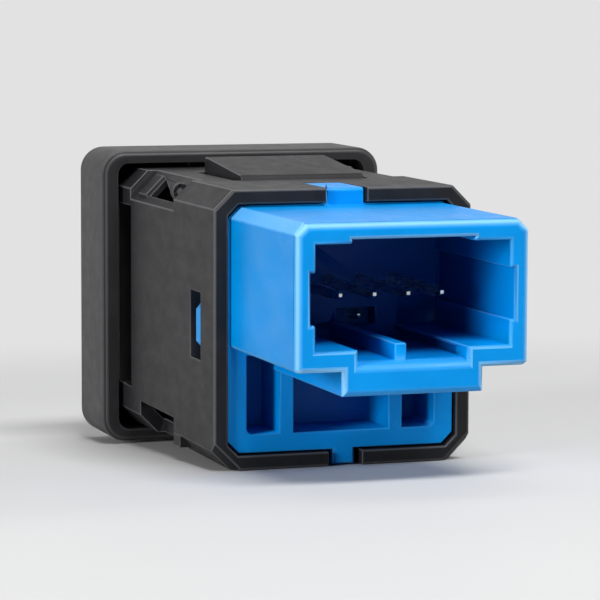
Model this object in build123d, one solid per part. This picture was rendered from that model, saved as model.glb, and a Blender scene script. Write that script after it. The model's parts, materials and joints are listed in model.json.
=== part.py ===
from build123d import *
import os
from math import cos, radians, sin, sqrt

# Illuminated latching push switch for a panel cut-out.
# Y runs along the switch: the button faces -Y, the connector faces +Y, Z is up.
# The origin is on the switch's axis, in the plane where the bezel seats on the panel.

# ---- driving dimensions, millimetres ----------------------------------------------------------

# case: square tube with cut corners
case_width = 20.0
case_height = 20.6
case_wall = 1.1
case_corner = 1.45
case_length = 24.5            # from the bezel's seat to the rear rim
rim_lead_in = 0.7             # length of the bevel on the lower rear corners
rim_corner_extra = 0.5        # how much more of each lower corner is cut at the rim
rim_edge = 0.12               # small chamfer round the rim
ledge_y = 1.0                 # stop ring inside the case
ledge_length = 1.0
ledge_height = 0.6

# bezel: hollow square frame over the front of the case
bezel_gap = 0.4               # round the case
bezel_depth = 7.8
bezel_wall = 1.0              # above and below the case
bezel_lip = 1.2
bezel_corner = 1.9
bezel_edge = 0.9
bezel_rear_edge = 0.3

# snap wedges on the top and bottom of the case
snap_width = 9.9
snap_front = 5.6              # distance from the bezel's seat to the wedge's catching face
snap_rear = 15.2
snap_height = 1.2
snap_nose = 0.35
snap_slot = 0.6               # slots that free the wedge's arm

# openings and relief in the case
window_inset = 3.4            # side windows, from the rear rim
window_length = 2.6
window_height = 5.0
side_slot_front = -1.6        # slot through each side, next to the bezel
side_slot_rear = 2.1
side_slot_top = 7.5
side_slot_bottom = 6.9
relief_front = 4.8            # cut-back front corners
relief_rear = 13.1
relief_low_width = 2.0
relief_low_height = 2.55
relief_top_corner = 2.3
relief_top_front = 2.0
relief_top_rear = 14.1
relief_window_front = 5.8     # three-cornered window in the upper relief
relief_window_rear = 12.3
relief_window_high = 0.95
relief_window_low = 0.85
relief_window_depth = 1.2
corner_rib_front = 3.6        # raised bar ahead of the window
corner_rib_rear = 5.7
corner_rib_half = 1.05
corner_rib_proud = 0.3
eyelet_y = 12.3               # ring that stands behind the window
eyelet_length = 0.7
eyelet_lift = 0.27
eyelet_radius = 0.7
eyelet_hole = 0.3
foot_width = 0.9
foot_length = 1.7
foot_drop = 0.5
top_notch_width = 3.2
top_notch_length = 6.0
low_notch_width = 2.6
low_notch_length = 4.0
pad_set_back = 0.8            # pads and ridges that hold the case in the bezel
pad_rear = -2.0
pad_low = 3.0
pad_high = 5.0
ridge_half = 4.0

# blue connector housing
plug_clearance = 0.12
plug_set_back = 0.45          # plate below the case's rim
plug_rim = 0.95               # wall round the board's seat
plug_shell = 1.9              # wall of the plug behind the board
back_wall = 2.15
rib_x = -0.2                  # the ribs and their notches sit off the middle
top_rib_width = 2.87
low_rib_width = 1.78
rib_gap = 0.05                # rib's outer face below the case's outer face
rib_end_gap = 0.2
rib_round = 0.3
nub_length = 1.2
nub_height = 3.2
nub_ramp = 0.6
nub_gap = 0.07                # behind the nub, in the window
nub_sink = 0.05               # nub's tip below the case's outer face
nub_round = 0.4
shroud_width = 17.25
shroud_top = 8.98
shroud_bottom = -1.32
shroud_length = 14.9
shroud_corner = 0.8
shroud_edge = 0.6
key_edge = 0.25
cavity_width = 14.3
cavity_top = 7.5
cavity_bottom = 0.16
cavity_depth = 14.45
ceiling_recess_width = 9.0
ceiling_recess_depth = 0.3
groove_depth = 0.35
groove_bottom = 1.95
groove_top = 5.55
key_width = 10.4
key_bottom = -3.04
key_slot_width = 8.06
key_slot_bottom = -0.67
key_mouth_drop = 0.4
key_mouth_length = 0.8
slot_rib_width = 0.85
slot_rib_x = 0.75
slot_rib_top = 0.5
slot_rib_set_back = 0.6
slot_rib_round = 0.15
slot_step_depth = 0.35        # the slot widens behind its mouth
slot_step_length = 2.4
slot_step_top = -0.1
pocket_depth = 4.4
pocket_back_wall = 0.75
pocket_roof = 0.5
pocket_bottom = -7.7
pocket_round = 0.45
side_pocket_width = 2.52
side_pocket_top = -1.9
middle_pocket_width = 7.42
middle_pocket_top = -3.4
pocket_bar = 1.08
sense_opening_width = 3.06
sense_opening_height = 1.3
sense_opening_depth = 1.5
sense_opening_x = -0.9
sense_opening_z = 0.8

# terminals
pin_pitch = 2.54
pin_count = 4
pin_size = 0.64
pin_row_z = 3.5
pin_reach = 10.0              # beyond the back of the socket
pin_taper = 0.9
pin_point = 0.28
pin_tail = 0.6
sense_x = -1.27
sense_z = 0.8
sense_recess = 0.35           # short terminal's tip, below the back of the socket
pin_fit = 0.01                # clearance of a terminal in the housing's wall

# button and plunger
travel = 3.0
latched_travel = 2.0
cap_clearance = 0.2
cap_proud = 0.45
cap_depth = 5.6
cap_wall = 1.1
cap_front = 1.4
cap_corner = 1.0
cap_edge = 0.45
socket_wall = 1.1
socket_depth = 3.2
lens_width = 6.4
lens_height = 1.6
lens_round = 0.5
lens_z = 6.6
lens_stem = 3.4
plunger_size = 7.6
plunger_end = 2.0             # behind the latch track's rest point
plunger_edge = 0.25
guide_clearance = 0.15
hook_width = 3.0
hook_length = 1.6
hook_height = 1.2
hook_flat = 0.6
hook_foot = 0.3
hook_y = 5.0
hook_clearance = 0.1
spring_bore = 4.6
spring_bore_front = 3.0

# return spring
spring_diameter = 4.0
spring_wire = 0.45
spring_turns = 5
wire_side_count = 6                # coil wire is a prism, to keep the meshes light
spring_seat_gap = 0.02

# heart-shaped latch track and its pin
track_width = 0.9
track_depth = 0.9
latch_wire = 0.6
latch_swing = 15.0            # degrees, at full travel
latch_pivot_inset = 0.7       # from the frame's rear plate
latch_arm = 5.8
latch_bearing_gap = 0.05
latch_stand_off = 0.35        # wire clear of the frame's wall
latch_leg_end = 0.25
latch_tip_gap = 0.2
latch_bend = 0.5
latch_side_count = 8
latch_window_front = 0.75     # the frame's window round the pin's tip
latch_window_rear = 0.9
latch_window_gap = 0.25
clip_thickness = 0.25
clip_width = 4.6
clip_gap = 0.05
clip_root = 0.8
clip_tip_inset = 1.4          # from the latch pin's bearing
clip_end = 1.2
clip_kick = 0.5

# inner frame
frame_clearance = 0.15
frame_front_plate = 1.2
frame_rear_plate = 1.5
tower_wall = 1.25
board_depth = 7.05            # board's front face, from the rear plate's face
post_diameter = 2.6
post_length = 3.0
contact_block = 1.2
contact_block_height = 7.4
contact_block_lead = 0.7
light_window_width = 6.0
light_window_height = 2.6
lamp_window = 2.6
pin_pocket_depth = 1.0

# contacts
strip_thickness = 0.3
strip_width = 1.6
open_gap = 0.9                # along the travel, between the bridge and the strips
strip_z = 2.0
strip_tail = 0.6
contact_gap = 0.05
bridge_thickness = 0.25
bridge_length = 3.0
bridge_height = 6.0
bridge_lead = 1.7             # ahead of the latch track's rest point
rivet_height = 0.35
rivet_radius = 0.6
rivet_edge = 0.15
tab_length = 1.2
tab_z = 1.7
tab_margin = 0.5
tab_root = 0.05
bridge_bend = 0.5
contact_window_lead = 0.4
contact_window_side = 0.2
pocket_margin = 0.15
bridge_pocket_depth = 1.0
contact_spring_diameter = 2.2
contact_spring_wire = 0.28
contact_spring_turns = 2

# board, lamps, resistors, light guide
board_thickness = 1.2
board_clearance = 0.1
board_corner = 0.8
hole_gap = 0.15
lamp_length = 1.9
lamp_height = 1.2
lamp_depth = 0.5
lamp_dome = 0.35             # lens on the lamp: its radius and height
backlight_z = -6.8
chip_length = 1.6
chip_width = 0.8
chip_depth = 0.5
chip_x = 4.5
chip_inset = 0.33             # from the roof of the connector housing's hollow
chip_edge = 0.06
guide_width = 2.4
guide_height = 1.6
guide_gap = 0.4               # light guide clear of the lamp
guide_front = 1.2
guide_edge = 0.2

# modelling allowances
cut_over = 1.0                # how far cuts run past a surface
root = 0.3                    # how deep added features sink into their parent

# ---- sizes that follow ------------------------------------------------------------------------

bore_width = case_width - 2 * case_wall
bore_height = case_height - 2 * case_wall
corner_shrink = 2 - sqrt(2)   # how fast a cut corner shrinks when the outline is offset inwards
bore_corner = case_corner - corner_shrink * case_wall
wall_cut = 1.5 * case_wall    # a cut this deep goes through the case's wall
case_front = bezel_lip - bezel_depth
bezel_inside_width = case_width + 2 * bezel_gap
bezel_inside_height = case_height + 2 * bezel_gap
bezel_size = max(bezel_inside_width, bezel_inside_height) + 2 * bezel_wall

cap_width = bore_width - 2 * cap_clearance
cap_height = bore_height - 2 * cap_clearance
cap_front_y = -bezel_depth - cap_proud
cap_rear_y = cap_front_y + cap_depth
cap_floor_y = cap_front_y + cap_front

plug_width = bore_width - 2 * plug_clearance
plug_height = bore_height - 2 * plug_clearance
plate_y = case_length - plug_set_back
shroud_end = plate_y + shroud_length
cavity_back = shroud_end - cavity_depth
wall_front = plate_y - back_wall
window_rear = case_length - window_inset
window_front = window_rear - window_length
board_front = plate_y - board_depth
board_rear = board_front + board_thickness
board_width = plug_width - 2 * plug_rim - 2 * board_clearance
board_height = plug_height - 2 * plug_rim - 2 * board_clearance
core_half_width = plug_width / 2 - plug_shell
core_top = plug_height / 2 - plug_shell
chip_z = core_top - chip_inset - chip_width / 2

frame_front_y = ledge_y + ledge_length
frame_plate_rear = frame_front_y + frame_front_plate
frame_rear_front = board_front - frame_rear_plate
guide_bore = plunger_size + 2 * guide_clearance
tower_size = guide_bore + 2 * tower_wall

latch_pivot_y = frame_rear_front - latch_pivot_inset
track_y = latch_pivot_y - latch_arm
plunger_rear = track_y + plunger_end
bridge_y = track_y - bridge_lead
clip_tip = latch_pivot_y - clip_tip_inset
strip_front = bridge_y + bridge_length / 2 + open_gap
pin_tip_y = cavity_back + pin_reach
sense_tip_y = cavity_back - sense_recess
pin_row_x = [(i - (pin_count - 1) / 2) * pin_pitch for i in range(pin_count)]


# ---- helpers ----------------------------------------------------------------------------------

def across(y):
    """Plane across the switch at station y, with local x along X and local y along Z."""
    return Plane(origin=(0, y, 0), x_dir=(1, 0, 0), z_dir=(0, -1, 0))


def prism(outline, y_front, y_rear):
    """Solid of an outline across the switch, between two stations."""
    return extrude(across(y_rear) * outline, amount=y_rear - y_front)


def block(x_span, y_span, z_span):
    """Box between pairs of coordinates."""
    size = [abs(b - a) for a, b in (x_span, y_span, z_span)]
    middle = [(a + b) / 2 for a, b in (x_span, y_span, z_span)]
    return Pos(*middle) * Box(*size)


def cut_corner_rectangle(width, height, corner):
    return chamfer(Rectangle(width, height).vertices(), corner)


def bore_outline(gap=0.0):
    """Outline that fits the case's bore with a gap all round."""
    corner = bore_corner + corner_shrink * gap
    return cut_corner_rectangle(bore_width - 2 * gap, bore_height - 2 * gap, corner)


def both_sides(shape):
    """A shape and its mirror image on the other side of the switch."""
    return shape + mirror(shape, about=Plane.YZ)


def above_and_below(shape):
    return shape + mirror(shape, about=Plane.XY)


def side_profile(points, x_from, x_to):
    """Solid of a (y, z) outline, between two planes across X."""
    face = make_face(Polyline(*[(x_from, y, z) for y, z in points], close=True))
    return extrude(face, amount=x_to - x_from, dir=(1, 0, 0))


def plan_profile(points, z_from, z_to):
    """Solid of an (x, y) outline, between two heights."""
    face = make_face(Polyline(*[(x, y, z_from) for x, y in points], close=True))
    return extrude(face, amount=z_to - z_from, dir=(0, 0, 1))


def coil(diameter, wire, turns, length, plane):
    """Helical spring along a plane's normal, from its origin, with the wire inside the length."""
    span = length - wire
    helix = Helix(pitch=span / turns, height=span, radius=(diameter - wire) / 2)
    start = Plane(origin=helix @ 0, z_dir=helix % 0)
    spring = sweep(start * RegularPolygon(wire / 2, wire_side_count), path=helix, is_frenet=True)
    return plane * Pos(0, 0, wire / 2) * spring


# ---- case -------------------------------------------------------------------------------------

def rim_outline(inset):
    """Outline of the case at its rear rim, where the lower corners are cut further."""
    shape = Rectangle(case_width - 2 * inset, case_height - 2 * inset)
    high = shape.vertices().group_by(Axis.Y)[-1]
    shape = chamfer(high, case_corner)
    return chamfer(shape.vertices().group_by(Axis.Y)[0], case_corner + rim_corner_extra)


def case_tube():
    """Octagonal tube with a bevelled rear rim and a stop ring inside."""
    bevel_y = case_length - rim_lead_in
    edge_y = case_length - rim_edge
    full = cut_corner_rectangle(case_width, case_height, case_corner)
    bevelled = rim_outline(0)
    end = rim_outline(rim_edge)
    tube = prism(full, case_front, bevel_y)
    tube += loft([across(bevel_y) * full, across(edge_y) * bevelled])
    tube += loft([across(edge_y) * bevelled, across(case_length) * end])
    tube -= prism(bore_outline(), case_front, ledge_y)
    tube -= prism(bore_outline(ledge_height), ledge_y, frame_front_y)
    tube -= prism(bore_outline(), frame_front_y, case_length)
    return tube


def snap_wedge():
    """Wedge on the top face: it rises towards the bezel and drops to a catching face."""
    top = case_height / 2
    low = top - case_wall / 2
    profile = [
        (snap_front, low),
        (snap_front, top + snap_height),
        (snap_front + snap_nose, top + snap_height),
        (snap_rear - snap_nose, top + snap_nose),
        (snap_rear, top),
        (snap_rear, low),
    ]
    wedge = side_profile(profile, -snap_width / 2, snap_width / 2)
    crest = wedge.edges().filter_by(Axis.X).group_by(Axis.Z)[-1]
    nose = wedge.edges().filter_by(Axis.X).sort_by(Axis.Y)[-3]
    return fillet(list(crest) + [nose], snap_nose / 2)


def snap_slots():
    """U-shaped slot that leaves the wedge on a springy arm."""
    low = case_height / 2 - wall_cut
    high = case_height / 2 + snap_height
    half = snap_width / 2
    side = block((half, half + snap_slot), (snap_front - snap_slot, snap_rear), (low, high))
    end = block((-half - snap_slot, half + snap_slot), (snap_front - snap_slot, snap_front), (low, high))
    return both_sides(side) + end


def low_corner_relief():
    """Front lower corner cut right through, behind the bezel."""
    x = case_width / 2
    z = -case_height / 2
    inner = x - relief_low_width
    high = z + relief_low_height
    ramp_end = relief_rear + relief_low_width / 2
    cut = block((inner, x + cut_over), (relief_front, relief_rear), (z - cut_over, high))
    return cut + plan_profile([(inner, relief_rear), (x, relief_rear), (x, ramp_end)], z - cut_over, high)


def corner_foot():
    """Small foot that squares off the lower corner behind the relief."""
    x = case_width / 2
    z = foot_drop - case_height / 2
    start = relief_rear + relief_low_width / 2
    return block((x - foot_width, x), (start, start + foot_length), (z, z + foot_width))


def top_corner_plane():
    """Plane on the relieved upper left corner: local x towards the bezel, local y up and inwards."""
    x = relief_top_corner / 2 - case_width / 2
    z = case_height / 2 - relief_top_corner / 2
    return Plane(origin=(x, 0, z), x_dir=(0, -1, 0), z_dir=(-1, 0, 1))


def top_corner_relief():
    """Deeper cut of the upper left corner with a three-cornered window through it."""
    x = -case_width / 2
    z = case_height / 2
    cut = relief_top_corner
    corner = Polyline((x, z - cut), (x + cut, z), (x - cut_over, z + cut_over), close=True)
    shallow = prism(make_face(corner), relief_top_front, relief_top_rear)
    front = -relief_window_front
    low = -relief_window_low
    points = [(-relief_window_rear, low), (front, low), (front, relief_window_high)]
    window = top_corner_plane() * make_face(Polyline(*points, close=True))
    return shallow + extrude(window, amount=-relief_window_depth)


def top_corner_ribs():
    """Raised bar and eyelet on the upper left corner."""
    face = top_corner_plane()
    length = corner_rib_rear - corner_rib_front
    middle = (corner_rib_front + corner_rib_rear) / 2
    bar = face * Pos(-middle, 0) * Rectangle(length, 2 * corner_rib_half)
    ring = Circle(eyelet_radius) - Circle(eyelet_hole)
    centre = face.location * Pos(0, 0, eyelet_lift)
    seat = Pos(centre.position.X, centre.position.Z)
    eyelet = prism(seat * ring, eyelet_y, eyelet_y + eyelet_length)
    return extrude(bar, amount=corner_rib_proud) + eyelet


def bezel_pads():
    """Pads that centre the case in the bezel, and ridges that snap into it."""
    x = case_width / 2
    pad_front = case_front + pad_set_back
    pad = block((x, x + bezel_gap), (pad_front, pad_rear), (pad_low, pad_high))
    pads = both_sides(above_and_below(pad))
    z = case_height / 2
    ridge = block((-ridge_half, ridge_half), (pad_front, pad_rear), (z, z + bezel_gap))
    return pads + above_and_below(ridge)


def rib_notches():
    """Notches in the rear rim for the connector housing's ribs."""
    z = case_height / 2
    half = top_notch_width / 2
    span = (case_length - top_notch_length, case_length)
    top = block((rib_x - half, rib_x + half), span, (z - wall_cut, z + cut_over))
    half = low_notch_width / 2
    span = (case_length - low_notch_length, case_length)
    low = block((rib_x - half, rib_x + half), span, (-z - cut_over, wall_cut - z))
    return top + low


def side_openings():
    """Latch window and the slot next to the bezel, in the left and right walls."""
    x = case_width / 2
    half = window_height / 2
    window = block((x - wall_cut, x + cut_over), (window_front, window_rear), (-half, half))
    span = (side_slot_front, side_slot_rear)
    slot = block((x - case_wall, x + cut_over), span, (-side_slot_bottom, side_slot_top))
    return both_sides(window + slot)


def make_case():
    case = case_tube()
    case -= above_and_below(snap_slots())
    case += above_and_below(snap_wedge())
    case -= both_sides(low_corner_relief())
    case += both_sides(corner_foot())
    case -= both_sides(top_corner_relief())
    case += both_sides(top_corner_ribs())
    case -= rib_notches()
    case -= side_openings()
    case += bezel_pads()
    return case


# ---- bezel ------------------------------------------------------------------------------------

def make_bezel():
    """Square frame: open at the rear, with a lip round the button at the front."""
    outer = fillet(Rectangle(bezel_size, bezel_size).vertices(), bezel_corner)
    inner = Rectangle(bezel_inside_width, bezel_inside_height)
    inner = fillet(inner.vertices(), bezel_corner - bezel_wall)
    mouth_width = cap_width + 2 * cap_clearance
    mouth_height = cap_height + 2 * cap_clearance
    mouth = fillet(Rectangle(mouth_width, mouth_height).vertices(), cap_corner + cap_clearance)
    bezel = prism(outer, -bezel_depth, 0)
    bezel = fillet(bezel.faces().sort_by(Axis.Y)[0].edges(), bezel_edge)
    bezel = chamfer(bezel.faces().sort_by(Axis.Y)[-1].edges(), bezel_rear_edge)
    bezel -= prism(inner, case_front, 0)
    bezel -= prism(mouth, -bezel_depth, case_front)
    return bezel


# ---- connector housing ------------------------------------------------------------------------

def plug_body():
    """The part inside the case: rim round the board, shell, back wall, ribs and latch nubs."""
    body = prism(bore_outline(plug_clearance), board_front, plate_y)
    seat = Rectangle(plug_width - 2 * plug_rim, plug_height - 2 * plug_rim)
    body -= prism(chamfer(seat.vertices(), board_corner), board_front, board_rear)
    core = (-core_half_width, core_half_width)
    roof = side_pocket_top + pocket_roof
    pocket_front = plate_y - pocket_depth - pocket_back_wall
    body -= block(core, (board_rear, wall_front), (roof, core_top))
    body -= block(core, (board_rear, pocket_front), (-core_top, roof))
    body += connector_ribs()
    body += both_sides(latch_nub())
    return body


def connector_ribs():
    z = case_height / 2 - rib_gap
    half = top_rib_width / 2
    inner = plug_height / 2 - root
    front = case_length - top_notch_length + rib_end_gap
    top = block((rib_x - half, rib_x + half), (front, plate_y), (inner, z))
    top = fillet(top.edges().filter_by(Axis.X).group_by(Axis.Z)[-1], rib_round)
    half = low_rib_width / 2
    front = case_length - low_notch_length + rib_end_gap
    low = block((rib_x - half, rib_x + half), (front, plate_y), (-z, -inner))
    return top + low


def latch_nub():
    """Ramped nub that catches in the case's side window."""
    inner = plug_width / 2 - root
    tip = case_width / 2 - nub_sink
    rear = window_rear - nub_gap
    crest = rear - nub_length
    foot = crest - nub_ramp
    points = [(inner, rear), (tip, rear), (tip, crest), (plug_width / 2, foot), (inner, foot)]
    nub = plan_profile(points, -nub_height / 2, nub_height / 2)
    end = nub.faces().sort_by(Axis.X)[-1]
    return chamfer(end.edges().filter_by(Axis.Y), nub_round)


def shroud_solid():
    """Outside of the keyed shroud, with the key block under it."""
    middle = (shroud_top + shroud_bottom) / 2
    outline = Pos(0, middle) * Rectangle(shroud_width, shroud_top - shroud_bottom)
    outline = chamfer(outline.vertices().group_by(Axis.Y)[-1], shroud_corner)
    key_middle = (cavity_bottom + key_bottom) / 2
    key = Pos(0, key_middle) * Rectangle(key_width, cavity_bottom - key_bottom)
    solid = prism(outline + key, plate_y - root, shroud_end)
    rim = solid.faces().sort_by(Axis.Y)[-1].edges()
    upper = rim.filter_by(lambda edge: edge.center().Z > cavity_bottom)
    solid = fillet(upper, shroud_edge)
    rim = solid.faces().sort_by(Axis.Y)[-1].edges()
    lower = rim.filter_by(lambda edge: edge.center().Z < cavity_bottom)
    return chamfer(lower, key_edge)


def cavity():
    """Inside of the shroud: the socket, its side grooves, the ceiling recess and the key slot."""
    middle = (cavity_top + cavity_bottom) / 2
    outline = Pos(0, middle) * Rectangle(cavity_width, cavity_top - cavity_bottom)
    groove_middle = (groove_top + groove_bottom) / 2
    outline += Pos(0, groove_middle) * Rectangle(cavity_width + 2 * groove_depth, groove_top - groove_bottom)
    recess_middle = cavity_top + (ceiling_recess_depth - root) / 2
    outline += Pos(0, recess_middle) * Rectangle(ceiling_recess_width, root + ceiling_recess_depth)
    slot_height = cavity_bottom + root - key_slot_bottom
    outline += Pos(0, key_slot_bottom + slot_height / 2) * Rectangle(key_slot_width, slot_height)
    return prism(outline, cavity_back, shroud_end)


def slot_mouth():
    """Lead-in at the front of the key slot, and the wider stretch behind it."""
    low = key_slot_bottom - key_mouth_drop
    start = shroud_end - key_mouth_length
    high = cavity_bottom
    profile = [(start, key_slot_bottom), (shroud_end, low), (shroud_end, high), (start, high)]
    mouth = side_profile(profile, -key_slot_width / 2, key_slot_width / 2)
    half = key_slot_width / 2 + slot_step_depth
    span = (cavity_back, shroud_end - slot_step_length)
    return mouth + block((-half, half), span, (key_slot_bottom, slot_step_top))


def slot_rib():
    """Coding rib that stands in the key slot."""
    half = slot_rib_width / 2
    end = shroud_end - slot_rib_set_back
    span_z = (key_slot_bottom - root, slot_rib_top)
    rib = block((slot_rib_x - half, slot_rib_x + half), (cavity_back, end), span_z)
    return fillet(rib.faces().sort_by(Axis.Y)[-1].edges().filter_by(Axis.X), slot_rib_round)


def plate_pockets():
    """Three cored pockets in the plate below the shroud."""
    middle_height = middle_pocket_top - pocket_bottom
    middle_z = (middle_pocket_top + pocket_bottom) / 2
    outline = Pos(0, middle_z) * Rectangle(middle_pocket_width, middle_height)
    x = middle_pocket_width / 2 + pocket_bar + side_pocket_width / 2
    side_height = side_pocket_top - pocket_bottom
    side = Pos(x, (side_pocket_top + pocket_bottom) / 2) * Rectangle(side_pocket_width, side_height)
    outer_low = side.vertices().group_by(Axis.Y)[0].sort_by(Axis.X)[-1]
    side = fillet(outer_low, pocket_round)
    outline += side + mirror(side, about=Plane.YZ)
    return prism(outline, plate_y - pocket_depth, plate_y + cut_over)


def terminal_holes():
    size = pin_size + 2 * pin_fit
    holes = [Pos(x, pin_row_z) * Rectangle(size, size) for x in pin_row_x]
    holes.append(Pos(sense_x, sense_z) * Rectangle(size, size))
    cut = prism(Sketch() + holes, wall_front, cavity_back)
    opening = Pos(sense_opening_x, sense_opening_z) * Rectangle(sense_opening_width, sense_opening_height)
    return cut + prism(opening, cavity_back - sense_opening_depth, cavity_back)


def make_connector_housing():
    housing = plug_body()
    housing -= plate_pockets()
    housing += shroud_solid()
    housing -= cavity()
    housing -= slot_mouth()
    housing += slot_rib()
    housing -= terminal_holes()
    return housing


# ---- terminals and contacts -------------------------------------------------------------------

def make_terminal(x, z, tip_y):
    """Square pin from the board to the socket, tapered to its tip."""
    shank = Pos(x, z) * Rectangle(pin_size, pin_size)
    point = Pos(x, z) * Rectangle(pin_point, pin_point)
    pin = prism(shank, board_front - pin_tail, tip_y - pin_taper)
    return pin + loft([across(tip_y - pin_taper) * shank, across(tip_y) * point])


def make_fixed_contact(z):
    """Flat strip beside the plunger, with its tail through the board."""
    x = strip_inner_x()
    half = strip_width / 2
    return block((x, x + strip_thickness), (strip_front, board_rear + strip_tail), (z - half, z + half))


def strip_inner_x():
    return tower_size / 2 - strip_thickness


def bridge_outer_x():
    return strip_inner_x() - contact_gap - rivet_height


def contact_rivet(outer):
    """Rounded rivet head on the bridge, facing the upper strip."""
    seat = Plane(origin=(outer, bridge_y, strip_z), x_dir=(0, 1, 0), z_dir=(1, 0, 0))
    head = extrude(seat * Circle(rivet_radius), amount=rivet_height)
    return chamfer(head.edges().sort_by(Axis.X)[-1], rivet_edge)


def make_contact_bridge():
    """Sprung clip on the plunger's side, with a rivet over each strip."""
    outer = bridge_outer_x()
    inner = outer - bridge_thickness
    half_y = bridge_length / 2
    half_z = bridge_height / 2
    clip = block((inner, outer), (bridge_y - half_y, bridge_y + half_y), (-half_z, half_z))
    clip = fillet(clip.edges().filter_by(Axis.X), bridge_bend)
    tab = block(
        (inner - tab_length, inner + tab_root),
        (bridge_y - half_y + tab_margin, bridge_y + half_y - tab_margin),
        (tab_z - bridge_thickness / 2, tab_z + bridge_thickness / 2),
    )
    return clip + above_and_below(tab) + above_and_below(contact_rivet(outer))


def make_contact_spring():
    """Small coil that pushes the bridge outwards from the plunger's pocket."""
    start = plunger_size / 2 - bridge_pocket_depth
    length = bridge_outer_x() - bridge_thickness - start
    seat = Plane(origin=(start, bridge_y, 0), x_dir=(0, 1, 0), z_dir=(1, 0, 0))
    return coil(contact_spring_diameter, contact_spring_wire, contact_spring_turns, length, seat)


# ---- button -----------------------------------------------------------------------------------

def lens_outline(gap=0.0):
    shape = Rectangle(lens_width + 2 * gap, lens_height + 2 * gap)
    return Pos(0, lens_z) * fillet(shape.vertices(), lens_round)


def make_button_cap():
    """Hollow cap with a socket for the plunger and a slot for the lens."""
    cap = prism(fillet(Rectangle(cap_width, cap_height).vertices(), cap_corner), cap_front_y, cap_rear_y)
    cap = fillet(cap.faces().sort_by(Axis.Y)[0].edges(), cap_edge)
    inside = Rectangle(cap_width - 2 * cap_wall, cap_height - 2 * cap_wall)
    cap -= prism(inside, cap_floor_y, cap_rear_y)
    outer = plunger_size + 2 * socket_wall
    socket = Rectangle(outer, outer) - Rectangle(plunger_size, plunger_size)
    cap += prism(socket, cap_floor_y - root, cap_floor_y + socket_depth)
    cap -= prism(lens_outline(), cap_front_y, cap_floor_y + socket_depth)
    return cap


def make_indicator_lens():
    """Clear bar flush with the cap's face, with a stem towards the light guide."""
    lens = prism(lens_outline(), cap_front_y, cap_floor_y)
    stem = Pos(0, lens_z) * Rectangle(guide_width, guide_height)
    return lens + prism(stem, cap_floor_y, cap_floor_y + lens_stem)


def track_points():
    """Corners of the heart-shaped track on the plunger, as (y, z) at rest."""
    swing = radians(latch_swing)
    side_y = track_y - travel + latch_arm * (1 - cos(swing))
    side_z = latch_arm * sin(swing)
    start = (track_y, 0)
    notch = (track_y - latched_travel, 0)
    return start, (side_y, side_z), notch, (side_y, -side_z)


def track_cut():
    """Closed groove: out along one side, into the notch of the heart, back along the other."""
    depth_x = track_depth - plunger_size / 2
    face = Plane(origin=(depth_x, 0, 0), x_dir=(0, 1, 0), z_dir=(1, 0, 0))
    corners = track_points()
    groove = Sketch()
    for a, b in zip(corners, corners[1:] + corners[:1]):
        middle = Vector((a[0] + b[0]) / 2, (a[1] + b[1]) / 2)
        run = Vector(b[0] - a[0], b[1] - a[1])
        turn = Vector(1, 0).get_signed_angle(run, Vector(0, 0, 1))
        slot = Pos(middle.X, middle.Y) * Rot(0, 0, turn) * SlotCenterToCenter(run.length, track_width)
        groove += slot
    return extrude(face * groove, amount=-2 * track_depth)


def make_plunger():
    """Square rod with the spring's bore, the latch track, two hooks and the contact pocket."""
    rod = prism(Rectangle(plunger_size, plunger_size), cap_floor_y, plunger_rear)
    rod = chamfer(rod.edges().filter_by(Axis.Y), plunger_edge)
    rod -= prism(Circle(spring_bore / 2), spring_bore_front, plunger_rear)
    half = plunger_size / 2
    width = hook_width / 2
    rear = hook_y + hook_length
    points = [(hook_y, half - root), (hook_y, half + hook_height), (hook_y + hook_flat, half + hook_height)]
    points += [(rear, half + hook_foot), (rear, half - root)]
    rod += above_and_below(side_profile(points, -width, width))
    rod -= track_cut()
    pocket_y = bridge_length / 2 - tab_margin + pocket_margin
    pocket_z = tab_z + bridge_thickness / 2 + pocket_margin
    pocket_x = (half - bridge_pocket_depth, half + cut_over)
    rod -= block(pocket_x, (bridge_y - pocket_y, bridge_y + pocket_y), (-pocket_z, pocket_z))
    return rod


def make_return_spring():
    length = frame_rear_front - spring_bore_front - 2 * spring_seat_gap
    seat = Plane(origin=(0, spring_bore_front + spring_seat_gap, 0), x_dir=(1, 0, 0), z_dir=(0, 1, 0))
    return coil(spring_diameter, spring_wire, spring_turns, length, seat)


# ---- inner frame and latch --------------------------------------------------------------------

def latch_x():
    """Middle of the latch pin's long leg."""
    return -tower_size / 2 - latch_stand_off - latch_wire / 2


def frame_windows():
    """Openings in the tower: hook slots, the latch pin's window and bearing, the contact window."""
    half = tower_size / 2
    inner = guide_bore / 2 - root
    hook_half = hook_width / 2 + guide_clearance
    slot_y = (hook_y - hook_clearance, hook_y + hook_length + travel + hook_clearance)
    cut = above_and_below(block((-hook_half, hook_half), slot_y, (inner, half + cut_over)))
    reach = latch_arm * sin(radians(latch_swing)) + latch_wire / 2 + latch_window_gap
    span = (track_y - latch_window_front, track_y + latch_window_rear)
    cut += block((-half - cut_over, -inner), span, (-reach, reach))
    bearing = Plane(origin=(-half - cut_over, latch_pivot_y, 0), x_dir=(0, 1, 0), z_dir=(1, 0, 0))
    bearing_hole = Circle(latch_wire / 2 + latch_bearing_gap)
    cut += extrude(bearing * bearing_hole, amount=cut_over + tower_wall)
    contact_y = (bridge_y - bridge_length / 2 - contact_window_lead, frame_rear_front)
    contact_half = bridge_height / 2 + contact_window_side
    cut += block((inner, half), contact_y, (-contact_half, contact_half))
    return cut


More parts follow.
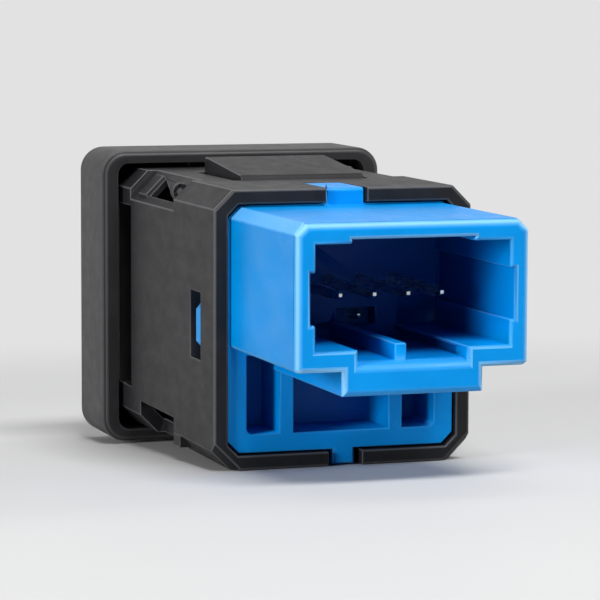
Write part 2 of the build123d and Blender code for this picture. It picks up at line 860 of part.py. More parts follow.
def make_inner_frame():
    """Moulded carrier: two plates that fit the case, and the tower that guides the plunger."""
    bore = Rectangle(guide_bore, guide_bore)
    tower = Rectangle(tower_size, tower_size)
    frame = prism(bore_outline(frame_clearance), frame_front_y, frame_plate_rear)
    frame += prism(tower, frame_plate_rear, frame_rear_front)
    half = tower_size / 2
    backing_half = contact_block_height / 2
    backing_y = (strip_front - contact_block_lead, frame_rear_front)
    frame += block((half, half + contact_block), backing_y, (-backing_half, backing_half))
    frame -= prism(bore, frame_front_y, frame_rear_front)
    frame += prism(bore_outline(frame_clearance), frame_rear_front, board_front)
    frame += prism(Circle(post_diameter / 2), frame_rear_front - post_length, frame_rear_front)
    frame -= frame_windows()
    frame -= plate_openings()
    return frame


def plate_openings():
    """Slots in the plates for the clip, the light and the terminals."""
    inner = latch_x() - latch_wire / 2 - clip_gap
    root = (frame_plate_rear - clip_root, frame_plate_rear)
    cut = block((inner - clip_thickness, inner), root, (-clip_width / 2, clip_width / 2))
    guide = Pos(0, lens_z) * Rectangle(guide_width, guide_height)
    window = Pos(0, backlight_z) * Rectangle(light_window_width, light_window_height)
    cut += prism(guide + window, frame_front_y, frame_plate_rear)
    lamps = Pos(0, lens_z) * Rectangle(lamp_window, lamp_window)
    lamps += Pos(0, backlight_z) * Rectangle(lamp_window, lamp_window)
    cut += prism(lamps, frame_rear_front, board_front)
    x = strip_inner_x()
    for z in (-strip_z, strip_z):
        half = strip_width / 2
        cut += block((x, x + strip_thickness), (frame_rear_front, board_front), (z - half, z + half))
    tails = (board_front - pin_pocket_depth, board_front)
    reach = pin_row_x[-1] + pin_size
    cut += block((-reach, reach), tails, (sense_z - pin_size, pin_row_z + pin_size))
    return cut


def make_latch_pin():
    """Bent wire: bearing leg, long leg, and the leg that follows the track."""
    x = latch_x()
    bearing_end = -tower_size / 2 + tower_wall - latch_leg_end
    tip = -plunger_size / 2 + track_depth - latch_tip_gap
    turn = x + latch_bend
    pivot = Plane(origin=(turn, latch_pivot_y, 0), z_dir=(1, 0, 0))
    wire = RegularPolygon(latch_wire / 2, latch_side_count)
    outwards = pivot * wire
    inwards = Plane(origin=(turn, track_y, 0), z_dir=(1, 0, 0)) * wire
    along = Plane(origin=(x, track_y + latch_bend, 0), z_dir=(0, 1, 0)) * wire
    pin = extrude(pivot * Circle(latch_wire / 2), amount=bearing_end - turn)
    pin += revolve(outwards, Axis((turn, latch_pivot_y - latch_bend, 0), (0, 0, 1)), 90)
    pin += extrude(along, amount=latch_arm - 2 * latch_bend)
    pin += revolve(inwards, Axis((turn, track_y + latch_bend, 0), (0, 0, 1)), -90)
    return pin + extrude(inwards, amount=tip - turn)


def make_latch_clip():
    """Leaf spring planted in the front plate, lying over the latch pin."""
    inner = latch_x() - latch_wire / 2 - clip_gap
    outer = inner - clip_thickness
    root = frame_plate_rear - clip_root
    bend = clip_tip - clip_end
    points = [
        (inner, root),
        (inner, bend),
        (inner - clip_kick, clip_tip),
        (outer - clip_kick, clip_tip),
        (outer, bend),
        (outer, root),
    ]
    return plan_profile(points, -clip_width / 2, clip_width / 2)


# ---- board and lamps --------------------------------------------------------------------------

def make_circuit_board():
    outline = chamfer(Rectangle(board_width, board_height).vertices(), board_corner)
    hole = Circle(pin_size / sqrt(2) + hole_gap)
    for x in pin_row_x:
        outline -= Pos(x, pin_row_z) * hole
    outline -= Pos(sense_x, sense_z) * hole
    x = strip_inner_x() + strip_thickness / 2
    for z in (-strip_z, strip_z):
        outline -= Pos(x, z) * Rectangle(strip_thickness + 2 * hole_gap, strip_width + 2 * hole_gap)
    return prism(outline, board_front, board_rear)


def make_lamp(z):
    """Surface-mount lamp on the front of the board."""
    body = block(
        (-lamp_length / 2, lamp_length / 2),
        (board_front - lamp_depth, board_front),
        (z - lamp_height / 2, z + lamp_height / 2),
    )
    face = board_front - lamp_depth
    lens = prism(Pos(0, z) * Circle(lamp_dome), face - lamp_dome, face)
    return body + chamfer(lens.faces().sort_by(Axis.Y)[0].edges(), lamp_dome / 2)


def make_resistor(x):
    """Chip resistor on the rear of the board."""
    chip = block(
        (x - chip_length / 2, x + chip_length / 2),
        (board_rear, board_rear + chip_depth),
        (chip_z - chip_width / 2, chip_z + chip_width / 2),
    )
    return chamfer(chip.edges().filter_by(Axis.Z), chip_edge)


def make_light_guide():
    """Clear bar from the indicator lamp to the front plate."""
    rear = board_front - lamp_depth - lamp_dome - guide_gap
    bar = Pos(0, lens_z) * Rectangle(guide_width, guide_height)
    guide = prism(bar, guide_front, rear)
    return chamfer(guide.faces().sort_by(Axis.Y)[-1].edges(), guide_edge)


# ---- all pieces -------------------------------------------------------------------------------

def make_pieces():
    pieces = {
        "housing_sleeve": make_case(),
        "bezel": make_bezel(),
        "connector_housing": make_connector_housing(),
        "terminal_sense": make_terminal(sense_x, sense_z, sense_tip_y),
        "button_cap": make_button_cap(),
        "indicator_lens": make_indicator_lens(),
        "plunger": make_plunger(),
        "return_spring": make_return_spring(),
        "inner_frame": make_inner_frame(),
        "latch_pin": make_latch_pin(),
        "latch_clip": make_latch_clip(),
        "contact_bridge": make_contact_bridge(),
        "contact_spring": make_contact_spring(),
        "fixed_contact_supply": make_fixed_contact(strip_z),
        "fixed_contact_load": make_fixed_contact(-strip_z),
        "circuit_board": make_circuit_board(),
        "indicator_led": make_lamp(lens_z),
        "backlight_led": make_lamp(backlight_z),
        "indicator_resistor": make_resistor(chip_x),
        "backlight_resistor": make_resistor(-chip_x),
        "light_guide": make_light_guide(),
    }
    for i, x in enumerate(pin_row_x):
        pieces[f"terminal_pin_{i + 1}"] = make_terminal(x, pin_row_z, pin_tip_y)
    return pieces


os.makedirs("parts", exist_ok=True)
for name, piece in make_pieces().items():
    export_step(piece, f"parts/{name}.step")
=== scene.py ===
import json
import math

import bmesh
import bpy
from mathutils import Matrix, Vector
from mathutils.bvhtree import BVHTree


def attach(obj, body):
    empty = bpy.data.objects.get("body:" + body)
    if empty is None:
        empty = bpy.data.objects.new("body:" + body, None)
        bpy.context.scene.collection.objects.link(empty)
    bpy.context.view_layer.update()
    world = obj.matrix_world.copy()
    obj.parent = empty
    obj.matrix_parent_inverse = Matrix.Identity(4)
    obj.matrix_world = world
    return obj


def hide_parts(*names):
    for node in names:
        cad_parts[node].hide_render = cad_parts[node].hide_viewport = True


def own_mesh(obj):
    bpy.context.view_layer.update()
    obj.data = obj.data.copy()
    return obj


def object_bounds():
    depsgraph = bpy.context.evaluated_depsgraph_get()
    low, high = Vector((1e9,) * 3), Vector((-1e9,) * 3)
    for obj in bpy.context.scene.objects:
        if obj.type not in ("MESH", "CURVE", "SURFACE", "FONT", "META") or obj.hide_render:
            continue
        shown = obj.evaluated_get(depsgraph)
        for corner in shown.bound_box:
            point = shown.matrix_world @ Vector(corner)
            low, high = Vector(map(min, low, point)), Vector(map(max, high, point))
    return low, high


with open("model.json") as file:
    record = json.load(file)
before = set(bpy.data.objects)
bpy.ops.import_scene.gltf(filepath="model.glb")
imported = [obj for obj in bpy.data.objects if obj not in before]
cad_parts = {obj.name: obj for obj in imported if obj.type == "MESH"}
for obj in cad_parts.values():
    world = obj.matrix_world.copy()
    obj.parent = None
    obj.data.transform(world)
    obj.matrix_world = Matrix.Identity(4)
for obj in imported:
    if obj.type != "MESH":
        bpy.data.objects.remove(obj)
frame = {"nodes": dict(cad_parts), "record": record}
cad_low, cad_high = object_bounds()
nodes = frame["nodes"]

MM = 0.001

# stations and half widths of the solids, in mm
REAR = cad_high[1] / MM       # the socket's mouth
RIM = 24.5                    # the case's rear rim
PLATE = 24.05                 # the connector housing's end plate
SLOT_HALF = 4.2               # the key block's slot, with its walls


# ---- camera: where it stands, worked out from the object's own edges ---------------------------

UNIT = 20.0 / 21.0            # mm per unit of the camera's own solution
FRAME = 600                   # pixels across the picture
FOCAL = 3003.0                # focal length in those pixels
YAW = math.radians(18.738)
PITCH = math.radians(6.221)
ROLL = math.radians(-0.198)
SHIFT_RIGHT = 3.388
SHIFT_UP = -1.883
DISTANCE = 231.705
AXIS_DROP = 0.22              # units from the solution's axis to the switch's axis


def camera_rows():
    """Right, up and back of the camera, on the solution's axes: right, up, towards the viewer."""
    cos, sin = math.cos, math.sin
    turn = Matrix(((cos(YAW), 0, sin(YAW)), (0, 1, 0), (-sin(YAW), 0, cos(YAW))))
    nod = Matrix(((1, 0, 0), (0, cos(PITCH), -sin(PITCH)), (0, sin(PITCH), cos(PITCH))))
    lean = Matrix(((cos(ROLL), -sin(ROLL), 0), (sin(ROLL), cos(ROLL), 0), (0, 0, 1)))
    return lean @ nod @ turn


def to_row_frame(v):
    """A direction on the solution's axes, on the row's axes."""
    return Vector((-v[0], v[2], v[1]))


def make_camera():
    """Camera behind the switch, a little to its left and above it."""
    rows = camera_rows()
    where = rows.transposed() @ Vector((-SHIFT_RIGHT, -SHIFT_UP, DISTANCE))
    place = to_row_frame(where) * UNIT + Vector((0, RIM, AXIS_DROP * UNIT))
    axes = [to_row_frame(r) for r in rows]
    turn = Matrix(axes).transposed().to_4x4()
    data = bpy.data.cameras.new("camera")
    data.sensor_width = 36.0
    data.lens = FOCAL / FRAME * data.sensor_width
    data.clip_start = 0.01
    data.clip_end = 20.0
    camera = bpy.data.objects.new("camera", data)
    camera.matrix_world = Matrix.Translation(place * MM) @ turn
    bpy.context.scene.collection.objects.link(camera)
    bpy.context.scene.camera = camera


# ---- materials ---------------------------------------------------------------------------------

class Look:
    """A node material built step by step round one Principled shader."""

    def __init__(self, name, colour, roughness, metallic=0.0, **sockets):
        self.material = bpy.data.materials.new(name)
        self.material.use_nodes = True
        self.tree = self.material.node_tree
        self.shader = self.tree.nodes["Principled BSDF"]
        self.colour = colour
        self.shader.inputs["Base Color"].default_value = (*colour, 1)
        self.shader.inputs["Roughness"].default_value = roughness
        self.shader.inputs["Metallic"].default_value = metallic
        for key, value in sockets.items():
            self.shader.inputs[key.replace("_", " ")].default_value = value
        self.place = self.node("ShaderNodeTexCoord").outputs["Object"]
        self.height = None

    def node(self, kind, **values):
        """A new node; each value goes to the input or the setting of that name."""
        made = self.tree.nodes.new(kind)
        for key, value in values.items():
            if isinstance(value, (int, float, tuple)) and key in made.inputs:
                made.inputs[key].default_value = value
            else:
                setattr(made, key, value)
        return made

    def link(self, a, b):
        self.tree.links.new(a, b)

    def noise(self, per_mm, detail=3.0, rough=0.55, stretch=(1, 1, 1), seed=0.0):
        """Noise of about per_mm features a millimetre; stretch lengthens them along an axis."""
        mapping = self.node("ShaderNodeMapping")
        scale = [per_mm / MM / s for s in stretch]
        mapping.inputs["Scale"].default_value = scale
        mapping.inputs["Location"].default_value = (seed, seed * 1.7, seed * 0.6)
        self.link(self.place, mapping.inputs["Vector"])
        noise = self.node("ShaderNodeTexNoise", Scale=1.0, Detail=detail, Roughness=rough)
        self.link(mapping.outputs["Vector"], noise.inputs["Vector"])
        return noise.outputs["Fac"]

    def ranged(self, value, low, high, to_low, to_high):
        """The value taken from one range to another, held at both ends."""
        span = self.node("ShaderNodeMapRange")
        for key, number in (("From Min", low), ("From Max", high), ("To Min", to_low), ("To Max", to_high)):
            span.inputs[key].default_value = number
        self.link(value, span.inputs["Value"])
        return span.outputs["Result"]

    def sum(self, a, b):
        add = self.node("ShaderNodeMath", operation="ADD")
        self.link(a, add.inputs[0])
        self.link(b, add.inputs[1])
        return add.outputs["Value"]

    def paint(self, fac, colour):
        """Mixes a colour over what is there, by a factor."""
        mix = self.node("ShaderNodeMix", data_type="RGBA")
        base = self.shader.inputs["Base Color"]
        if base.is_linked:
            self.link(base.links[0].from_socket, mix.inputs["A"])
        else:
            mix.inputs["A"].default_value = base.default_value
        mix.inputs["B"].default_value = (*colour, 1)
        self.link(fac, mix.inputs["Factor"])
        self.link(mix.outputs["Result"], base)

    def vary(self, fac, amount, low=0.35, high=0.65):
        """Shades the colour lighter and darker by a share."""
        darker = tuple(c * (1 - amount) for c in self.colour)
        lighter = tuple(min(1, c * (1 + amount) + 0.01 * amount) for c in self.colour)
        self.paint(self.ranged(fac, low, 0.5, 1, 0), darker)
        self.paint(self.ranged(fac, 0.5, high, 0, 1), lighter)

    def rough(self, fac, low, high, at_low=0.35, at_high=0.65):
        """Roughness that follows the factor between two values."""
        self.link(self.ranged(fac, at_low, at_high, low, high), self.shader.inputs["Roughness"])

    def bump(self, fac, microns, strength=1.0):
        """Raises the surface by a height field; calls stack."""
        bump = self.node("ShaderNodeBump", Strength=strength, Distance=microns * 1e-6)
        self.link(fac, bump.inputs["Height"])
        if self.height is not None:
            self.link(self.height, bump.inputs["Normal"])
        self.height = bump.outputs["Normal"]
        self.link(self.height, self.shader.inputs["Normal"])

    def edges(self, colour, amount):
        """Painted highlight: a lighter colour on the rounded edges, standing in for the light they catch
        beyond what their narrow width shows.
        """
        edge = self.node("ShaderNodeAttribute", attribute_name="edge")
        self.paint(self.ranged(edge.outputs["Fac"], 0.0, 1.0, 0, amount), colour)


def black_case():
    """Glass-filled nylon: charcoal, slightly mottled along the flow, with dust in the grain."""
    look = Look("case_plastic", (0.013, 0.013, 0.0145), 0.46, Specular_IOR_Level=0.17)
    look.vary(look.noise(0.35, 4, 0.6, (1, 3, 1)), 0.16)
    look.paint(look.ranged(look.noise(2.2, 5, 0.7, (1, 2, 1), 3.0), 0.60, 0.76, 0, 0.22), (0.05, 0.05, 0.054))
    look.rough(look.noise(0.8, 4, 0.6, (1, 2, 1), 7.0), 0.43, 0.51)
    look.bump(look.noise(9.0, 3, 0.6, (1, 2, 1), 1.0), 7, 0.5)
    look.bump(look.noise(0.25, 2, 0.5, (1, 1, 1), 5.0), 30, 0.20)
    # painted highlight: light grey on the case's rounded edges
    look.edges((0.20, 0.20, 0.205), 0.45)
    return look.material


def black_bezel():
    """Fine-grained black, a little smoother than the case."""
    look = Look("bezel_plastic", (0.018, 0.018, 0.0195), 0.46, Specular_IOR_Level=0.28)
    look.vary(look.noise(0.3, 4, 0.6, (1, 1, 1), 2.0), 0.12)
    look.paint(look.ranged(look.noise(3.0, 4, 0.7, (1, 1, 1), 4.0), 0.62, 0.78, 0, 0.12), (0.05, 0.05, 0.053))
    look.rough(look.noise(1.0, 4, 0.6, (1, 1, 1), 6.0), 0.41, 0.48)
    look.bump(look.noise(11.0, 2, 0.5, (1, 1, 1), 8.0), 8, 0.7)
    # painted highlight: grey on the bezel's rounded edges
    look.edges((0.12, 0.12, 0.125), 0.40)
    return look.material


def blue_housing():
    """Unfilled connector plastic: saturated, half glossy, with faint flow marks, painted shade deep in the
    socket and pockets, and a painted highlight on the rounded edges.
    """
    look = Look("blue_plastic", (0.0, 0.280, 0.76), 0.36, Specular_IOR_Level=0.14)
    look.vary(look.noise(0.18, 3, 0.5, (1, 3, 1), 1.0), 0.06)
    look.rough(look.noise(0.6, 4, 0.6, (1, 2, 1), 3.0), 0.30, 0.42)
    look.bump(look.noise(0.16, 2, 0.5, (1, 2, 1), 2.0), 25, 0.20)
    look.bump(look.noise(12.0, 2, 0.5, (1, 1, 1), 4.0), 1.2, 0.30)
    painted_shade_fac = look.node("ShaderNodeAttribute", attribute_name="painted_shade").outputs["Fac"]
    # painted shade: navy darkening deep in the socket and pockets
    look.paint(look.ranged(painted_shade_fac, 0.0, 0.55, 0.0, 0.86), (0.0, 0.045, 0.29))
    # painted highlight: pale cyan on the housing's rounded edges
    look.edges((0.36, 0.70, 0.95), 0.60)
    return look.material


def tinned_metal():
    """Tinned square wire, drawn along its length."""
    look = Look("terminal_metal", (0.62, 0.61, 0.58), 0.28, 1.0)
    look.vary(look.noise(1.2, 2, 0.5, (1, 6, 1), 1.0), 0.06)
    look.rough(look.noise(3.0, 2, 0.5, (1, 8, 1), 2.0), 0.24, 0.32)
    look.bump(look.noise(10.0, 2, 0.5, (1, 12, 1), 3.0), 0.6, 0.3)
    return look.material


def brass_strip():
    """Rolled brass."""
    look = Look("contact_metal", (0.62, 0.44, 0.20), 0.32, 1.0)
    look.vary(look.noise(0.9, 3, 0.6, (1, 3, 1), 1.5), 0.18)
    look.rough(look.noise(2.5, 3, 0.6, (1, 8, 1), 2.5), 0.22, 0.46)
    look.bump(look.noise(12.0, 2, 0.5, (1, 10, 1), 3.5), 4, 0.5)
    return look.material


def spring_wire():
    """Bare spring steel."""
    look = Look("spring_steel", (0.50, 0.50, 0.51), 0.26, 1.0)
    look.vary(look.noise(1.5, 3, 0.6, (1, 1, 1), 1.2), 0.14)
    look.rough(look.noise(4.0, 3, 0.6, (1, 1, 1), 2.2), 0.18, 0.36)
    look.bump(look.noise(20.0, 2, 0.5, (1, 1, 1), 3.2), 2, 0.4)
    return look.material


def moulded(name, colour, low, high, grain, seed, **sockets):
    """Plain moulded plastic with its own grain."""
    look = Look(name, colour, (low + high) / 2, **sockets)
    look.vary(look.noise(0.3, 3, 0.6, (1, 1, 1), seed), 0.10)
    look.rough(look.noise(0.9, 4, 0.6, (1, 1, 1), seed + 2), low, high)
    look.bump(look.noise(10.0, 2, 0.5, (1, 1, 1), seed + 4), grain, 0.6)
    return look.material


THREADS = 1800.0              # scale of the laminate's weave


def board_material():
    """Solder mask over a woven laminate."""
    look = Look("board_laminate", (0.012, 0.12, 0.045), 0.30)
    threads = []
    for along in ("X", "Z"):
        wave = look.node("ShaderNodeTexWave", Scale=THREADS, Distortion=0.4, wave_type="BANDS")
        wave.bands_direction = along
        look.link(look.place, wave.inputs["Vector"])
        threads.append(wave.outputs["Fac"])
    look.vary(threads[0], 0.12)
    look.bump(threads[1], 4, 0.5)
    look.rough(look.noise(0.7, 3, 0.6, (1, 1, 1), 2.0), 0.24, 0.38)
    return look.material


LOOKS = {
    "case_plastic": black_case(),
    "bezel_plastic": black_bezel(),
    "blue_plastic": blue_housing(),
    "button_plastic": moulded("button_plastic", (0.028, 0.028, 0.031), 0.42, 0.58, 9, 11.0),
    "lens_plastic": moulded(
        "lens_plastic", (0.78, 0.79, 0.77), 0.16, 0.26, 2, 12.0, Transmission_Weight=0.35),
    "plunger_plastic": moulded("plunger_plastic", (0.72, 0.71, 0.66), 0.30, 0.42, 4, 13.0),
    "frame_plastic": moulded("frame_plastic", (0.045, 0.045, 0.048), 0.36, 0.50, 7, 14.0),
    "spring_steel": spring_wire(),
    "contact_metal": brass_strip(),
    "terminal_metal": tinned_metal(),
    "board_laminate": board_material(),
    "lamp_body": moulded("lamp_body", (0.80, 0.78, 0.62), 0.18, 0.30, 2, 15.0),
    "chip_ceramic": moulded("chip_ceramic", (0.03, 0.03, 0.033), 0.30, 0.45, 4, 16.0),
    "guide_plastic": moulded(
        "guide_plastic", (0.86, 0.88, 0.88), 0.08, 0.16, 1, 17.0, Transmission_Weight=0.85),
}


def set_material(thing, material):
    """Gives the whole object one material."""
    thing.data.materials.clear()
    thing.data.materials.append(material)


SLOTS = {entry["node"]: entry["material_slot"] for entry in frame["record"]["subparts"]}
for name, slot in SLOTS.items():
    set_material(nodes[name], LOOKS[slot])


# ---- pieces that replace the plain solids -------------------------------------------------------

behaviour = frame["record"]["behaviour"]
BODY = {name: body for body, members in behaviour["bodies"].items() for name in members}

SHARP_DEGREES = 28.0          # an edge that turns more than this is rounded, or stays sharp
FLAT_DEGREES = 0.3            # triangles that differ by less are one flat face
SAME_POINT = 1e-6             # metres
ROUNDS = 5                    # tries at a rounding that doesn't fold over itself
FOLDED_AREA = 2e-8            # square metres in all that may stay folded
FOLDED_PIECE = 3e-10          # square metres of one fold that eases the edges beside it
SPECK = 1e-13                 # square metres, a triangle too small to judge
EASE = 0.6                    # share of its width that an eased edge keeps
EASE_REACH = 1.3              # widths from an edge within which a fold eases it


def weighted(node, width_mm, wider):
    """The node's mesh with its flat faces joined, and a share of the widest rounding on each sharp edge.

    wider is a list of (test, width in mm): an outer edge whose middle passes a test gets that width.
    """
    work = bmesh.new()
    work.from_mesh(nodes[node].data)
    bmesh.ops.remove_doubles(work, verts=work.verts, dist=SAME_POINT)
    bmesh.ops.join_triangles(
        work, faces=work.faces, angle_face_threshold=math.radians(FLAT_DEGREES),
        angle_shape_threshold=math.pi)
    work.normal_update()
    widest = max([width_mm] + [w for _, w in wider])
    weights = work.edges.layers.float.new("bevel_weight_edge")
    for edge in work.edges:
        if edge.is_manifold and edge.calc_face_angle(0.0) < math.radians(SHARP_DEGREES):
            continue
        if not edge.is_manifold or not edge.is_convex:
            edge.smooth = False
            continue
        middle = (edge.verts[0].co + edge.verts[1].co) / 2 / MM
        width = width_mm
        for test, value in wider:
            if test(middle):
                width = value
        edge[weights] = width / widest
    return work, weights, widest


def folded(mesh, tree):
    """Middles and areas of the triangles that face against the solid's own surface."""
    mesh.calc_loop_triangles()
    found = []
    for t in mesh.loop_triangles:
        if t.area < SPECK:
            continue
        middle = sum((mesh.vertices[i].co for i in t.vertices), Vector()) / 3
        if t.normal.dot(tree.find_nearest(middle)[1]) < 0.1:
            found.append((middle, t.area))
    return found


def limited(value):
    """The value held between 0 and 1."""
    return max(0.0, min(1.0, value))


SOCKET_SHADE_DEPTH = 7.0            # mm behind the mouth where the painted shade is at its deepest
POCKET_SHADE_DEPTH = 2.0            # mm behind the plate, likewise for the painted shade
POCKET_SHADE_SHARE = 0.38           # how far a pocket's floor goes towards the socket's deepest painted shade


def mark_painted_shade(mesh):
    """Keeps on each point how deep it lies in the socket or in a pocket, for the painted shade there: 0 at
    the mouth, 1 deep down.
    """
    painted_shade = mesh.attributes.new("painted_shade", "FLOAT", "POINT")
    for v in mesh.vertices:
        x, y, z = v.co / MM
        in_socket = abs(x) < 7.8 and -1.2 < z < 8.0
        in_pocket = abs(x) < 8.4 and -7.9 < z < -1.7 and y < PLATE - 0.15
        if in_socket:
            painted_shade.data[v.index].value = limited((REAR - 0.4 - y) / SOCKET_SHADE_DEPTH)
        elif in_pocket:
            painted_shade.data[v.index].value = POCKET_SHADE_SHARE * limited((PLATE - y) / POCKET_SHADE_DEPTH)


def mark_painted_highlights(mesh, slanted, highlight_share):
    """Keeps on each face its share of the painted edge highlight, and puts all faces on one material.

    The new roundings carry the second material. slanted takes in the solid's own slanted faces too, and
    highlight_share gives each place's share of the painted highlight.
    """
    edge = mesh.attributes.new("edge", "FLOAT", "FACE")
    for p in mesh.polygons:
        lean = 1 - max(abs(c) for c in p.normal)
        share = highlight_share(p.center / MM) if highlight_share else 1.0
        if p.material_index == 1:
            edge.data[p.index].value = share * (0.4 + min(0.6, 3 * lean))
        elif slanted and lean > 0.01:
            edge.data[p.index].value = share * min(1.0, 4 * lean)
        p.material_index = 0


def add_rounding(piece, width_mm, segments):
    """The modifiers that round the weighted edges and shade the flat faces flat."""
    bevel = piece.modifiers.new("round", "BEVEL")
    bevel.width = width_mm * MM
    bevel.segments = segments
    bevel.limit_method = "WEIGHT"
    bevel.harden_normals = True
    bevel.loop_slide = False
    bevel.miter_outer = "MITER_SHARP"
    bevel.use_clamp_overlap = False
    bevel.material = 1
    normals = piece.modifiers.new("flat", "WEIGHTED_NORMAL")
    normals.weight = 90
    normals.keep_sharp = True


def rounded(piece, work):
    """The mesh that the piece's modifiers make of the work so far, on two material slots."""
    mesh = bpy.data.meshes.new(piece.name)
    work.to_mesh(mesh)
    for p in mesh.polygons:
        p.use_smooth = True
    mesh.materials.append(None)
    mesh.materials.append(None)
    piece.data = mesh
    graph = bpy.context.evaluated_depsgraph_get()
    return bpy.data.meshes.new_from_object(piece.evaluated_get(graph))


def ease(work, weights, widest, folds):
    """Makes the rounding narrower on each edge with a fold beside it."""
    for edge in work.edges:
        if edge[weights] <= 0.0:
            continue
        start, run = edge.verts[0].co, edge.verts[1].co - edge.verts[0].co
        reach = EASE_REACH * edge[weights] * widest * MM
        for middle, size in folds:
            along = limited((middle - start).dot(run) / run.length_squared)
            if size > FOLDED_PIECE and (start + run * along - middle).length < reach:
                edge[weights] *= EASE
                break


def softened(node, width_mm, segments=3, wider=(), slanted=False, highlight_share=None):
    """A piece of the solid's own shape whose outer edges are rounded, less where there is little room."""
    work, weights, widest = weighted(node, width_mm, list(wider))
    source = nodes[node].data
    source.calc_loop_triangles()
    tree = BVHTree.FromPolygons(
        [v.co for v in source.vertices], [t.vertices for t in source.loop_triangles])
    piece = bpy.data.objects.new(node + "_moulding", source.copy())
    bpy.context.scene.collection.objects.link(piece)
    add_rounding(piece, widest, segments)
    least = None
    for _ in range(ROUNDS):
        mesh = rounded(piece, work)
        folds = folded(mesh, tree)
        area = sum(size for _, size in folds)
        if least is None or area < least:
            least, best = area, mesh
        if area < FOLDED_AREA:
            break
        ease(work, weights, widest, folds)
    work.free()
    piece.modifiers.clear()
    piece.data = best
    mark_painted_highlights(piece.data, slanted, highlight_share)
    if node == "connector_housing":
        mark_painted_shade(piece.data)
    finish_piece(piece, node)


def finish_piece(piece, node):
    """Gives the piece its body, slot and material."""
    set_material(piece, LOOKS[SLOTS[node]])
    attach(piece, BODY[node])
    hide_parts(node)


def housing_highlight_share(at):
    """Share of the painted edge highlight at each place: full on the plug's outer edges, little in its
    hollows and on the plate.
    """
    on_the_plate = at.y < PLATE + 0.3
    on_the_slot = abs(at.x) < SLOT_HALF and at.z < 0.4 and at.y > REAR - 0.8
    in_the_socket = abs(at.x) < 7.6 and 0.0 < at.z < 7.75
    along_the_shroud = at.y < REAR - 1.0
    if on_the_plate:
        return 0.12
    if on_the_slot:
        return 0.2
    if in_the_socket:
        return 0.22
    if along_the_shroud:
        return 0.4
    return 1.0


HOUSING_WIDTHS = [
    # the plate's edges, and its outer edge
    (lambda m: PLATE - 0.1 < m.y < PLATE + 0.1, 0.12),
    (lambda m: abs(m.y - PLATE) < 0.1 and (abs(m.x) > 8.3 or abs(m.z) > 8.5), 0.30),
    # the shroud's long upper edges
    (lambda m: 7.4 < abs(m.x) and 7.7 < m.z and PLATE + 0.5 < m.y < REAR - 0.2, 0.28),
    # the mouth, and the lip of the key block's slot
    (lambda m: m.y > REAR - 0.1, 0.24),
    (lambda m: m.y > REAR - 0.1 and m.z < 0.5 and abs(m.x) < SLOT_HALF, 0.34),
]
SLEEVE_WIDTHS = [
    # the snap wedges, and the rear rim
    (lambda m: abs(m.z) > 10.5, 0.14),
    (lambda m: m.y > RIM - 0.2, 0.14),
]
# the housing's rounded edges get a painted highlight, scaled place by place
softened("connector_housing", 0.10, wider=HOUSING_WIDTHS, slanted=True, highlight_share=housing_highlight_share)
softened("housing_sleeve", 0.08, wider=SLEEVE_WIDTHS)
softened("bezel", 0.12)
softened("button_cap", 0.10)
softened("indicator_lens", 0.06)
for name in [f"terminal_pin_{i}" for i in range(1, 5)] + ["terminal_sense"]:
    softened(name, 0.05, segments=2)


def shortening_spring():
    """The return spring: a copy of the solid on a mesh of its own, with its body and material."""
    spring = bpy.data.objects.new("return_spring_coil", nodes["return_spring"].data.copy())
    bpy.context.scene.collection.objects.link(spring)
    finish_piece(spring, "return_spring")
    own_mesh(spring)


shortening_spring()


# ---- floor, light ------------------------------------------------------------------------------

FLOOR_TONE = 0.62             # the floor's own colour, which the lamps bring up to the plain tone
PLAIN_TONE = 0.76             # what the backdrop and the far floor show
BOUNCE_TONE = 0.40            # the floor as the object's own surfaces get light from it
NEAR, FAR = 0.045, 0.170      # metres from the object between which the floor turns plain
FLOOR_MIDDLE = (0, 0.015, 0)


def grey(tone):
    """A neutral colour with its alpha."""
    return (tone, tone, tone, 1.0)


def floor_material():
    """Pale floor that takes the shadow near the object and is plain and even further off."""
    look = Look("floor", grey(FLOOR_TONE)[:3], 0.60, Specular_IOR_Level=0.2)
    look.vary(look.noise(0.02, 2, 0.5), 0.01)
    away = look.node("ShaderNodeVectorMath", operation="LENGTH")
    middle = look.node("ShaderNodeVectorMath", operation="SUBTRACT")
    middle.inputs[1].default_value = FLOOR_MIDDLE
    look.link(look.place, middle.inputs[0])
    look.link(middle.outputs["Vector"], away.inputs[0])
    far = look.ranged(away.outputs["Value"], NEAR, FAR, 0.0, 1.0)
    far.node.interpolation_type = "SMOOTHERSTEP"
    path = look.node("ShaderNodeLightPath")
    seen = look.sum(path.outputs["Is Camera Ray"], path.outputs["Is Glossy Ray"])
    seen = look.sum(seen, path.outputs["Is Transmission Ray"])
    dull = look.node("ShaderNodeBsdfDiffuse", Color=grey(BOUNCE_TONE))
    cast = look.node("ShaderNodeMixShader")
    look.link(seen, cast.inputs["Fac"])
    look.link(dull.outputs["BSDF"], cast.inputs[1])
    look.link(look.shader.outputs["BSDF"], cast.inputs[2])
    plain = look.node("ShaderNodeEmission", Strength=1.0, Color=grey(PLAIN_TONE))
    share = look.node("ShaderNodeMath", operation="MULTIPLY", use_clamp=True)
    look.link(far, share.inputs[0])
    look.link(seen, share.inputs[1])
    mix = look.node("ShaderNodeMixShader")
    look.link(share.outputs["Value"], mix.inputs["Fac"])
    look.link(cast.outputs["Shader"], mix.inputs[1])
    look.link(plain.outputs["Emission"], mix.inputs[2])
    look.link(mix.outputs["Shader"], look.tree.nodes["Material Output"].inputs["Surface"])
    return look.material


FRONT_CONTACT = (0, 5.8, -11.5)           # mm, where the lower snap wedge stands
REAR_CONTACT = (0, 24.4, -10.3)           # mm, where the case's rear rim stands
SWEEP_START, SWEEP_END = 900.0, -700.0    # mm along the floor, towards the rear and to the bend
BEND = 500.0                              # mm, radius of the sweep's bend
BEND_STEPS = 24
SWEEP_TOP = 2400.0                        # mm above the floor
SWEEP_HALF = 2600.0                       # mm to each side
FLOOR_GAP = 0.02                          # mm under the contacts


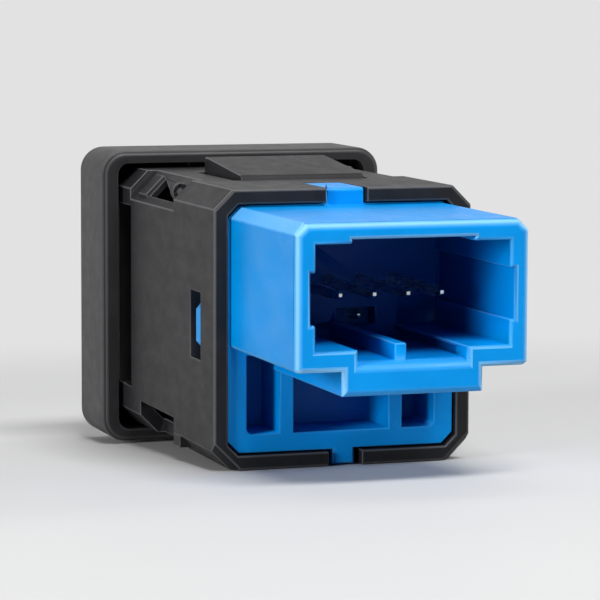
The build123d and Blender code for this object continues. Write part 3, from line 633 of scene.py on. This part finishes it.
def make_floor():
    """Pale sweep: flat under the switch, tilted as it lies on its snap wedge and rear rim, then up."""
    front, rear = Vector(FRONT_CONTACT), Vector(REAR_CONTACT)
    run = (rear - front).normalized()
    up = Vector((0, -run.z, run.y))
    profile = [(SWEEP_START, 0.0), (SWEEP_END, 0.0)]
    for i in range(1, BEND_STEPS + 1):
        a = i / BEND_STEPS * math.pi / 2
        profile.append((SWEEP_END - BEND * math.sin(a), BEND * (1 - math.cos(a))))
    profile.append((SWEEP_END - BEND, SWEEP_TOP))
    verts = []
    for s, h in profile:
        point = front + run * s + up * (h - FLOOR_GAP)
        for x in (-SWEEP_HALF, SWEEP_HALF):
            verts.append(Vector((x, point.y, point.z)) * MM)
    faces = [(2 * i, 2 * i + 1, 2 * i + 3, 2 * i + 2) for i in range(len(profile) - 1)]
    mesh = bpy.data.meshes.new("floor")
    mesh.from_pydata(verts, [], faces)
    for p in mesh.polygons:
        p.use_smooth = True
    floor = bpy.data.objects.new("floor", mesh)
    bpy.context.scene.collection.objects.link(floor)
    set_material(floor, floor_material())


def area_light(name, place_mm, aim_mm, size_mm, watts, glare=True):
    """Rectangular lamp that looks at a point; without glare it gives light but isn't reflected."""
    data = bpy.data.lights.new(name, "AREA")
    data.shape = "RECTANGLE"
    data.size, data.size_y = size_mm[0] * MM, size_mm[1] * MM
    data.energy = watts
    light = bpy.data.objects.new(name, data)
    place, aim = Vector(place_mm), Vector(aim_mm)
    light.location = place * MM
    light.rotation_euler = (aim - place).to_track_quat("-Z", "Y").to_euler()
    light.visible_glossy = glare
    bpy.context.scene.collection.objects.link(light)


SKY_COLOUR = (0.92, 0.94, 1.0, 1)
SKY_STRENGTH = 0.08


def make_world():
    """A weak even sky, which the camera, metal and glass see as the plain tone of the backdrop."""
    world = bpy.data.worlds.new("world")
    bpy.context.scene.world = world
    world.use_nodes = True
    tree = world.node_tree
    weak = tree.nodes["Background"]
    weak.inputs["Color"].default_value = SKY_COLOUR
    weak.inputs["Strength"].default_value = SKY_STRENGTH
    plain = tree.nodes.new("ShaderNodeBackground")
    plain.inputs["Color"].default_value = grey(PLAIN_TONE)
    plain.inputs["Strength"].default_value = 1.0
    path = tree.nodes.new("ShaderNodeLightPath")
    seen = path.outputs["Is Camera Ray"]
    for kind in ("Is Glossy Ray", "Is Transmission Ray"):
        add = tree.nodes.new("ShaderNodeMath")
        add.operation = "ADD"
        tree.links.new(seen, add.inputs[0])
        tree.links.new(path.outputs[kind], add.inputs[1])
        seen = add.outputs["Value"]
    mix = tree.nodes.new("ShaderNodeMixShader")
    tree.links.new(seen, mix.inputs["Fac"])
    tree.links.new(weak.outputs["Background"], mix.inputs[1])
    tree.links.new(plain.outputs["Background"], mix.inputs[2])
    tree.links.new(mix.outputs["Shader"], tree.nodes["World Output"].inputs["Surface"])


make_floor()
make_camera()
area_light("key", (-24, 265, 416), (0, 25, 0), (280, 140), 2.35)
area_light("left", (432, 212, 96), (0, 25, 0), (130, 200), 1.80, glare=False)
area_light("right", (-440, -40, 110), (0, 20, 0), (120, 240), 1.00, glare=False)
area_light("back", (-50, -190, 430), (0, 15, 0), (280, 110), 0.35)
make_world()
bpy.context.scene.view_settings.view_transform = "Standard"
